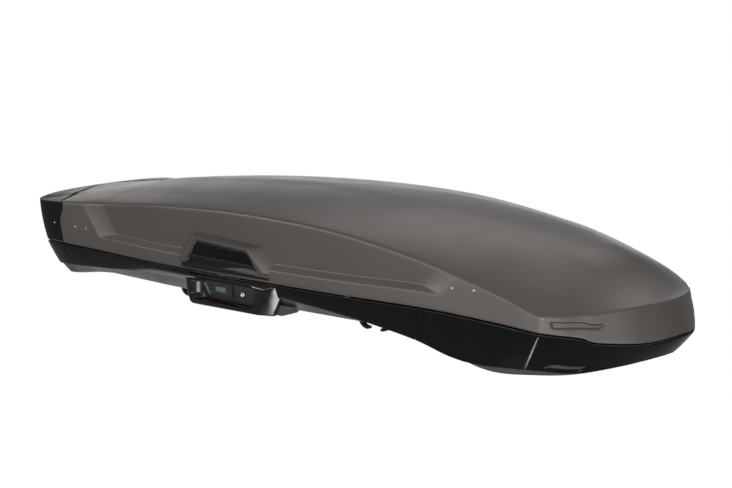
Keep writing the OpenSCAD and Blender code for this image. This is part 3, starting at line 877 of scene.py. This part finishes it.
def skirt_grid(start, end, windows=(), rows=26):
    """Places along the edge, and a skirt's outer face there, from the groove to the panel line."""
    t = columns(start, end, windows, coarse=12)
    top = creased(EDGE, t, NOSE_CORNER, fillet=SKIRT_FILLET) - [0, 0, GROOVE]
    low = creased(PANEL, on_panel(t), PANEL_CORNER, fillet=SKIRT_FILLET)
    return t, np.array([inset(blend(top, low, g), -SKIRT_BULGE * 4 * g * (1 - g))
        for g in np.linspace(0, 1, rows)])


def per_mm(knots, t):
    """How far along the places one millimetre of the outline goes."""
    return 0.01 / np.linalg.norm(at(knots, t + 0.005) - at(knots, t - 0.005))


def skirt(name, grid, node, opening=None, sharp=30, angle=40):
    """One gloss skin of the base, with a small lip along its edges."""
    obj = shell(name, grid, SKIN)
    if opening:
        cut(obj, opening)
    bevel(obj, SKIRT_LIP, angle=sharp)
    piece(obj, "base", "trim_gloss_black", GLOSS, stands_for=[node], angle=angle)


def skirts():
    """The skins round the base: tail, nose and both sides, with a gap at each joint."""
    gap_tail = JOINT_GAP / 2 * per_mm(EDGE, TAIL_JOINT[0])
    gap_nose = JOINT_GAP / 2 * per_mm(EDGE, NOSE_JOINT[0])
    half = skirt_grid(0, TAIL_JOINT[0] - gap_tail)[1]
    skirt("tail_skirt", round_tail(half), "tail_fairing")
    t, half = skirt_grid(NOSE_JOINT[0] + gap_nose, LAST, [(9.5, 12.8)], rows=34)
    share = np.linspace(0, 1, len(half))[:, None] + 0 * t
    half = dented(half, on_panel(t) + 0 * share, share, INTAKE, INTAKE_DEPTH)
    whole = np.concatenate([half, (half * [1, -1, 1])[:, -2::-1]], axis=1)
    skirt("nose_skirt", whole, "nose_fairing", sharp=50, angle=32)
    half = skirt_grid(TAIL_JOINT[0] + gap_tail, NOSE_JOINT[0] - gap_nose)[1]
    for side, sign in SIDES.items():
        grid = half * [1, sign, 1]
        skirt(f"side_skirt_{side}", grid if sign > 0 else grid[:, ::-1], f"side_skirt_{side}",
            prism("opening", side, grown(POD_BACK, SKIRT_OPENING), SKIRT_OPENING_OUT))


def on_deck(x):
    """Where the base's floor is flat."""
    return (x > DECK_X[0]) & (x < DECK_X[1])


def over_floor(floor, v):
    """Points a share v of the way from the floor's outline to its middle line, with the beads."""
    x = blend(floor[:, 0], middle(floor[:, 0]), v)
    centre = np.interp(x, DECK_CENTRE_X, DECK_CENTRE_Z)
    z = blend(floor[:, 2], centre, v * v)
    bead = sum(np.exp(-((x - b) / BEAD_REACH) ** 4) for b in BEADS) * smooth((v - 0.42) / 0.04)
    return np.stack([x, floor[:, 1] * (1 - v), np.where(on_deck(x), UNDER_Z, z) + BEAD_RISE * bead], 1)


def claw_slot(corner):
    """A cutter for the slot in the floor below one clamp."""
    lo, hi = (np.array(v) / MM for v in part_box(f"clamp_housing_{corner}"))
    x, y = (lo[0] + hi[0]) / 2, (lo[1] + hi[1]) / 2
    a, b = CLAW_SLOT_LENGTH / 2, CLAW_SLOT_WIDTH / 2
    ends = rounded([(x - a, y - b), (x + a, y - b), (x + a, y + b), (x - a, y + b)], CLAW_SLOT_CORNER)
    return loft("slot", [[(*end, z) for end in ends] for z in (-10, 30)])


def base_pan():
    """The base: down from the groove under the lid, round the corner and over the floor."""
    t = columns(0, LAST, [(9.5, 12.5)], coarse=13)
    rim = inset(lid_creased(EDGE, t) - [0, 0, GROOVE], PAN_GAP)
    panel = inset(lid_creased(PANEL, on_panel(t), PANEL_CORNER), PAN_GAP)
    floor = at(FLOOR, on_panel(t))
    floor[:, 2] = np.where(on_deck(floor[:, 0]), UNDER_Z, np.minimum(floor[:, 2], UNDER_Z))
    rows = [blend(rim, panel, f) for f in np.linspace(0, 1, 7)]
    rows += [blend(panel, floor, f) for f in (0.15, 0.35, 0.55, 0.75, 0.86)]
    corner_from, turn_in = rows[-1], over_floor(floor, 0.035)
    rows += [turning(corner_from, floor, turn_in, f) for f in (0.2, 0.4, 0.6, 0.8, 1)]
    rows += [over_floor(floor, v)
        for v in (0.07, 0.11, 0.2, 0.3, 0.4, 0.43, 0.46, 0.5, 0.6, 0.7, 0.8, 0.9, 1)]
    grid = np.array(rows)
    grid[-1, :, 1] = 0
    pan = shell("base_shell", both_halves(grid), LID_WALL, True)
    cutters = [prism("opening", side, grown(POD_BACK, PAN_OPENING), PAN_OPENING_OUT) for side in SIDES]
    cut(pan, *cutters, *(claw_slot(corner) for corner in CORNERS))
    return piece(pan, "base", "base_matte", BASE, stands_for=["base_pan"], angle=40)


def lock_pod(side):
    """The housing of one lock, with its bevelled finger recess, and the foot behind it."""
    pod = loft(f"lock_pod_{side}", [facing(side, POD_BACK, POD_IN), facing(side, POD_RIM, POD_RIM_OUT),
        facing(side, POD_FACE, POD_OUT)])
    bevel(pod, 4, 3, 12)
    settle(pod)
    hole = loft("hole", [facing(side, rounded(grown(RECESS, 2.5), 6), POD_OUT + 3),
        facing(side, rounded(RECESS, 6), POD_OUT - 1.5), facing(side, rounded(RECESS_FLOOR, 6), RECESS_Y)])
    cut(pod, hole)
    bevel(pod, 0.8, 2, 40)
    piece(pod, "base", "trim_gloss_black", POD_GLOSS, stands_for=[f"lock_pod_{side}"], angle=35)
    foot = prism("lock_pod_foot", side, POD_FOOT, POD_FOOT_OUT)
    bevel(foot, 3, 3, 20)
    return piece(foot, "base", "base_matte", BASE)


def off_recess(*heights):
    """Heights off the recess's floor, as distances from the middle plane."""
    return [RECESS_Y + h for h in heights]


def lock_face(side):
    """The insert in the recess, and the slider over it with its grip and window."""
    plate = layer("lock_insert", side, INSERT_LINE, off_recess(-1, 4), 3)
    bevel(plate, 1.2, 2)
    piece(plate, "base", "trim_satin_black", INSERT, stands_for=[f"lock_bezel_{side}"])
    slider = layer("lock_slider", side, SLIDER_LINE, off_recess(5, 10), 3)
    cut(slider, layer("hole", side, SLIDER_HOLE, off_recess(8, 12), 3))
    bevel(slider, 0.9, 2)
    piece(slider, f"{side}_lock", "trim_satin_black", INSERT, stands_for=[f"lock_slider_{side}"])
    strip = [(x - 3, z) for x, z in SLIDER_GRIP] + [(x + 4, z) for x, z in reversed(SLIDER_GRIP)]
    ridge = loft(f"slider_grip_{side}", [facing(side, strip, RECESS_Y + 9),
        facing(side, grown(strip, -1.2), RECESS_Y + 15)])
    bevel(ridge, 1.2, 2)
    piece(ridge, f"{side}_lock", "window_tinted", WINDOW)
    glass = layer("status_window", side, GLASS_LINE, off_recess(7, 9.4), 2)
    bevel(glass, 0.6, 2)
    piece(glass, f"{side}_lock", "window_tinted", WINDOW, stands_for=[f"status_window_{side}"])


def lock_key(side):
    """The key cylinder with its slot, and the ring round it."""
    centre, axis, n = (KEY_X, SIDES[side] * RECESS_Y, KEY_Z), (0, SIDES[side], 0), KEY_SEGMENTS
    key = make(f"key_cylinder_{side}", *turned(KEY_PROFILE, centre, axis, n), weld=0.01)
    cut(key, prism("hole", side, KEY_SLOT, off_recess(6, 12)))
    bevel(key, 0.25, 2, 40)
    piece(key, f"{side}_key", "lock_chrome", CHROME, stands_for=[f"key_cylinder_{side}"])
    points, faces = turned(KEY_RING, centre, axis, n)
    last = (len(KEY_RING) - 1) * n
    bore = [(last + i, last + (i + 1) % n, (i + 1) % n, i) for i in range(n)]
    ring = make(f"key_ring_{side}", points, faces[:-2] + bore, weld=0.01)
    return piece(ring, "base", "trim_satin_black", INSERT)


# ---- Small parts ----
RIVETS = [(-835, 146), (-778, 146), (755, 149), (821, 149)]
SCREW_X, SCREW_Z, SCREW_WALL = -946, 146, 126
# Heads, as pairs of radius and height.
RIVET = [(0.3, 1.9), (1.6, 1.8), (3.0, 1.25), (3.9, 0.5), (4.2, -1.5)]
RAIL_SCREW = [(0.3, 1.6), (2.2, 1.6), (2.6, 2.8), (4.6, 2.7), (6, 1.2), (6, 0)]
MAT_EDGE, MAT_RAIL_GAP, MAT_STRIP = 16, 2, 8
MAT_THICKNESS = 2.4
# The mat's rows of points from the middle to a rail, and from there past it.
MAT_ROWS_IN, MAT_ROWS_RAIL = 12, 3


def heads(name, parts, body, node):
    """One steel piece of several screw or rivet heads."""
    piece(make(name, *gather(parts)), body, "hardware_steel", STEEL, stands_for=[node])


def both_sides(places):
    """Rivet heads on both sides, at places that are a point and its outward direction."""
    return [turned(RIVET, p * [1, sign, 1], n * [1, sign, 1], 20)
        for sign in SIDES.values() for p, n in places]


def on_cap(x, z):
    """The point and the outward direction of the tail cap's side wall, left, at this x and z."""
    f = (z - EDGE_Z) / SCREW_WALL
    t = wall_place(x, f)
    p = on_wall(t, f)
    ahead = on_wall(t + 0.02, f) - p
    return p, np.array([-ahead[1], ahead[0], 0]) / np.hypot(*ahead[:2])


def rail_screws():
    """The heads of the screws along both rails."""
    parts = []
    lo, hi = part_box("base_screws")
    rail_lo, rail_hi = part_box("clamp_rail_right")
    for x in (lo.x + 0.006, 0, hi.x - 0.006):
        for sign in SIDES.values():
            y = sign * -(rail_lo.y + rail_hi.y) / 2
            parts.append(turned(RAIL_SCREW, (x / MM, y / MM, rail_hi.z / MM), (0, 0, 1), 24))
    heads("rail_screw_heads", parts, "base", "base_screws")


def mat():
    """The felt mat: one flat sheet cut round the two rails."""
    lo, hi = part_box("floor_mat")
    rail_lo, rail_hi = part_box("clamp_rail_left")
    rail_in, rail_out = rail_lo.y / MM - MAT_RAIL_GAP, rail_hi.y / MM + MAT_RAIL_GAP
    rail_end = rail_hi.x / MM + MAT_RAIL_GAP
    xs = np.unique(np.concatenate([np.linspace(lo.x / MM, -rail_end, 14),
        np.linspace(-rail_end, rail_end, 60), [hi.x / MM]]))
    # The floor's half width at each x. The first places, where x hardly grows, are left out.
    reach = np.interp(xs, *at(FLOOR, T_DENSE)[400:, :2].T) - MAT_EDGE
    ys = np.concatenate([np.linspace(0, rail_in, MAT_ROWS_IN),
        np.linspace(rail_in, rail_out, MAT_ROWS_RAIL + 1)[1:]])
    narrow = np.minimum(1, (reach - MAT_STRIP) / rail_out)
    half = np.array([y * narrow for y in ys] + [blend(rail_out * narrow, reach, 0.5), reach])
    whole = np.concatenate([-half[:0:-1], half])
    rng = np.random.default_rng(4)
    z = lo.z / MM + 3 + rng.normal(0, 0.12, whole.shape) - 0.3
    points = np.stack([np.broadcast_to(xs, whole.shape), whole, z], -1)
    centre, cols = len(half) - 1, len(xs)
    beside = range(MAT_ROWS_IN - 1, MAT_ROWS_IN - 1 + MAT_ROWS_RAIL)
    gap_rows = {centre + k for k in beside} | {centre - 1 - k for k in beside}
    faces = [f for f in grid_faces(*whole.shape) if not (f[0] // cols in gap_rows
        and -rail_end - 1 < xs[f[0] % cols] < rail_end - 1)]
    felt_mat = make("felt_mat", points, faces, face_out=False)
    if felt_mat.data.polygons[0].normal.z < 0:
        felt_mat.data.flip_normals()
    bm = bmesh.new()
    bm.from_mesh(felt_mat.data)
    bmesh.ops.delete(bm, geom=[v for v in bm.verts if not v.link_faces], context="VERTS")
    area = sum(f.calc_area() for f in bm.faces)
    bm.to_mesh(felt_mat.data)
    bm.free()
    thicken(felt_mat, MAT_THICKNESS)
    piece(felt_mat, "base", "felt", FELT, stands_for=["floor_mat"], angle=50)


skirts()
base_pan()
for side in SIDES:
    surround(side)
    grip(side)
    lock_pod(side)
    lock_face(side)
    lock_key(side)
heads("rivet_heads", both_sides([on_lid(x, z) for x, z in RIVETS]), "lid", "lid_rivets")
heads("cap_screw_heads", both_sides([on_cap(SCREW_X, SCREW_Z)]), "lid", "cap_screws")
rail_screws()
mat()

# ---- CAD nodes that stay: a finish for each, and softened edges ----
SLOT_OF = {s["node"]: s["material_slot"] for s in frame["record"]["subparts"]}
SOFT_EDGE = {"clamp_housing": 2.0, "clamp_knob": 1.6, "front_claw": 1.2, "rear_claw": 1.2, "bar_pads": 0.6,
    "clamp_rail": 0.6, "catch_brackets": 0.8, "catch_lugs": 0.8, "lock_bar": 0.6, "claw_pins": 0.4,
    "hinge_pins": 0.4}
for name, node in frame["nodes"].items():
    if node.hide_render:
        continue
    node.data.materials.clear()
    node.data.materials.append(SLOT_FINISH[SLOT_OF[name]])
    width = next((w for key, w in SOFT_EDGE.items() if name.startswith(key)), 0.4)
    weld = node.modifiers.new("weld", "WELD")
    weld.merge_threshold = 0.01 * MM
    bevel(node, width, 2, 40)
    node.modifiers[-1].harden_normals = True

# ---- Stage, lights and camera ----
# The camera stands where the model lines up with the photo.
VIEW_AZIMUTH, VIEW_ELEVATION = math.radians(40.73), math.radians(9.82)
CAMERA_PLACE, CAMERA_LENS = (3.9043, -4.4043, 1.1547), 93.64
# The floor is far below, so that it hides nothing. The backdrop is seen in reflections only.
FLOOR_SIZE, FLOOR_LEVEL, FLOOR_GLOW = 60, -9, 0.8
BACKDROP_SIZE, BACKDROP_AWAY, BACKDROP_HEIGHT, BACKDROP_GLOW = (4.1, 2.7), 3.2, -0.42, 1.4
# How strongly the world lights the object. The camera sees it at full strength.
WORLD_GLOW = 0.28
# Each light's name, place, target, width and height in metres, and power in watts.
LIGHTS = [
    ("key_softbox", (-0.4, -5.0, 2.8), (0, 0, 0.15), (4.4, 3.4), 98),
    ("strip_softbox", (-3.4, -3.6, 2.1), (-0.2, -0.4, 0.15), (3.0, 0.45), 60),
    ("nose_softbox", (3.3, -1.2, -0.2), (1.1, -0.2, 0.08), (1.2, 0.8), 26),
    ("crease_softbox", (1.95, -3.05, -0.2), (1.05, -0.36, 0), (0.3, 1.0), 14),
    ("skirt_crease_softbox", (0.95, -1.23, -1.5), (1.0, -0.35, 0), (0.3, 0.5), 9),
    ("front_softbox", (2.6, -2.2, 1.6), (0.5, -0.4, 0.1), (0.8, 0.8), 42),
    ("under_softbox", (-1.9, 0.05, -1.7), (-0.4, -0.3, 0), (1.6, 1.0), 8),
    ("top_softbox", (-0.6, 2.6, 3.8), (0.5, 0, 0.2), (4.4, 2.6), 56)]


def stage_plane(name, finish, size, location, rotation):
    bpy.ops.mesh.primitive_plane_add(size=size, location=location, rotation=rotation)
    plane = bpy.context.object
    plane.name = name
    plane.data.materials.append(finish.material)
    return plane


def glowing(name, colour, other, glow):
    """A pale matt finish that also gives light."""
    f = Finish(name, colour, 0.9, specular=0.1)
    f.tint(f.noise(0.6, 2), other, 0.5)
    return f.set("Emission Color", (1, 1, 1, 1)).set("Emission Strength", glow)


def stage():
    """The floor, and the backdrop behind the object."""
    f = glowing("studio_floor", srgb(240, 240, 240), srgb(236, 236, 235), FLOOR_GLOW)
    f.bump(f.noise(40, 2), 0.2, 0.1)
    floor = stage_plane("studio_floor", f, FLOOR_SIZE, (0, 0, FLOOR_LEVEL), (0, 0, 0))
    floor.visible_glossy = floor.visible_diffuse = False
    f = glowing("studio_backdrop", srgb(250, 250, 250), srgb(247, 247, 246), BACKDROP_GLOW)
    away = Vector((-math.sin(VIEW_AZIMUTH), math.cos(VIEW_AZIMUTH), 0)) * BACKDROP_AWAY
    backdrop = stage_plane("studio_backdrop", f, 1, away + Vector((0, 0, BACKDROP_HEIGHT)),
        (math.pi / 2, 0, VIEW_AZIMUTH))
    backdrop.scale = (*BACKDROP_SIZE, 1)
    backdrop.visible_camera = False


def studio_world(scene):
    """A world that is white to the camera and dimmer as a light."""
    world = bpy.data.worlds.new("studio")
    scene.world = world
    world.use_nodes = True
    nodes, links = world.node_tree.nodes, world.node_tree.links
    background = nodes["Background"]
    background.inputs["Color"].default_value = (1.0, 1.0, 1.0, 1)
    seen = nodes.new("ShaderNodeMapRange")
    seen.inputs["To Min"].default_value, seen.inputs["To Max"].default_value = WORLD_GLOW, 1.0
    links.new(nodes.new("ShaderNodeLightPath").outputs["Is Camera Ray"], seen.inputs["Value"])
    links.new(seen.outputs["Result"], background.inputs["Strength"])


def area_light(name, location, target, size, power):
    light = bpy.data.lights.new(name, "AREA")
    light.shape = "RECTANGLE"
    light.size, light.size_y = size
    light.energy = power
    obj = bpy.data.objects.new(name, light)
    bpy.context.scene.collection.objects.link(obj)
    obj.visible_camera = False
    obj.location = location
    obj.rotation_euler = (Vector(target) - Vector(location)).to_track_quat("-Z", "Y").to_euler()


scene = bpy.context.scene
scene.view_settings.view_transform = "Standard"
stage()
studio_world(scene)
for light in LIGHTS:
    area_light(*light)

camera = bpy.data.objects.new("camera", bpy.data.cameras.new("camera"))
scene.collection.objects.link(camera)
scene.camera = camera
camera.data.sensor_width = 36
camera.data.lens = CAMERA_LENS
camera.data.clip_end = 200
camera.location = CAMERA_PLACE
camera.rotation_euler = (math.pi / 2 - VIEW_ELEVATION, 0, VIEW_AZIMUTH)
